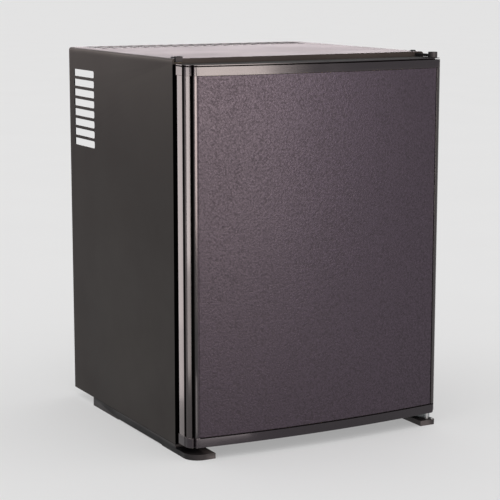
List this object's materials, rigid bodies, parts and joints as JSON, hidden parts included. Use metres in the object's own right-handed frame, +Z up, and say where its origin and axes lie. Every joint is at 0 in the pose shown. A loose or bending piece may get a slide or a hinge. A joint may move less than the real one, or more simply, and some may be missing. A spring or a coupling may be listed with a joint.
{
  "type": "minibar fridge",
  "caption": "Small free-standing hotel fridge with a bowed grained door hinged at the right, a grip profile at the left, vent slots near the rear and an absorption cooling unit.",
  "frame": {"origin": "middle of the closed fridge's footprint, on the floor it stands on", "axes": "+Z up; the door faces -Y; +X is the hinge side, at the right of someone facing the door"},
  "size_m": [0.406, 0.424, 0.553],
  "materials": {
    "cabinet_paint": "dark brown powder coat, fine satin texture",
    "door_skin": "dark brown foil with a fine leather grain",
    "door_profile": "glossy dark brown profile",
    "trim": "dark brown moulded trim",
    "foot_plastic": "dark moulded plastic",
    "white_plastic": "white vacuum formed sheet",
    "foam": "rigid polyurethane foam",
    "pipe_paint": "black painted steel tube",
    "sheet_paint": "black painted sheet",
    "hinge_steel": "black coated pressed steel",
    "evaporator_aluminium": "cast aluminium, lightly brushed",
    "zinc_strap": "zinc plated strip",
    "gasket": "soft dark seal",
    "clear_plastic": "clear moulded plastic",
    "grey_plastic": "grey moulded plastic",
    "coated_wire": "white coated wire",
    "black_plastic": "black moulded plastic"
  },
  "bodies": {
    "cabinet": {"outer_wrap": "cabinet_paint", "bottom_pan": "cabinet_paint", "rear_panel": "sheet_paint", "insulation": "foam", "inner_liner": "white_plastic", "foot_rail_left": "foot_plastic", "foot_rail_right": "foot_plastic", "hinge_plug_front": "grey_plastic", "hinge_plug_top": "black_plastic", "hinge_arm_top": "hinge_steel", "hinge_screw_top": "black_plastic", "hinge_bracket_bottom": "hinge_steel", "evaporator_fins": "evaporator_aluminium", "drip_channel": "white_plastic", "control_housing": "white_plastic", "light_lens": "clear_plastic", "unit_bracket_1": "zinc_strap", "unit_bracket_2": "zinc_strap", "unit_bracket_3": "zinc_strap", "boiler_jacket": "sheet_paint", "absorber_vessel": "pipe_paint", "riser_pipe": "pipe_paint", "condenser": "pipe_paint", "absorber_coil": "pipe_paint", "evaporator_pipe": "pipe_paint", "evaporator_plug": "grey_plastic", "evaporation_tray": "black_plastic", "drain_tube": "black_plastic", "terminal_box": "black_plastic", "mains_inlet": "grey_plastic"},
    "door": {"door_cap_top": "trim", "door_cap_bottom": "trim", "door_profile_grip": "door_profile", "door_profile_hinge": "door_profile", "door_panel": "door_skin", "door_foam": "foam", "door_liner": "white_plastic", "door_gasket": "gasket"},
    "rack_lower": {"door_rack_lower": "clear_plastic"},
    "rack_middle": {"door_rack_middle": "clear_plastic"},
    "rack_upper": {"door_rack_upper": "clear_plastic"},
    "lower_shelf": {"shelf_lower": "coated_wire"},
    "upper_shelf": {"shelf_upper": "coated_wire"},
    "knob": {"thermostat_knob": "grey_plastic"},
    "plunger": {"light_switch": "white_plastic"}
  },
  "joints": [
    {"name": "door_hinge", "type": "hinge", "parent": "cabinet", "child": "door", "pos_m": [0.194, -0.191, 0.28], "axis": [0, 0, 1], "range_deg": [0, 110]},
    {"name": "light_switch_press", "type": "slide", "parent": "cabinet", "child": "plunger", "axis": [0, 1, 0], "range_m": [0, 0.004], "stiffness_N_per_m": 150, "springref_m": -0.003},
    {"name": "thermostat_turn", "type": "hinge", "parent": "cabinet", "child": "knob", "pos_m": [0.1376, -0.124, 0.501], "axis": [0, -1, 0], "range_deg": [0, 300]},
    {"name": "shelf_lower_slide", "type": "slide", "parent": "cabinet", "child": "lower_shelf", "axis": [0, -1, 0], "range_m": [0, 0.05]},
    {"name": "shelf_upper_slide", "type": "slide", "parent": "cabinet", "child": "upper_shelf", "axis": [0, -1, 0], "range_m": [0, 0.05]},
    {"name": "rack_lower_lift", "type": "slide", "parent": "door", "child": "rack_lower", "axis": [0, 0, 1], "range_m": [0, 0.0115]},
    {"name": "rack_middle_lift", "type": "slide", "parent": "door", "child": "rack_middle", "axis": [0, 0, 1], "range_m": [0, 0.0115]},
    {"name": "rack_upper_lift", "type": "slide", "parent": "door", "child": "rack_upper", "axis": [0, 0, 1], "range_m": [0, 0.0115]}
  ]
}
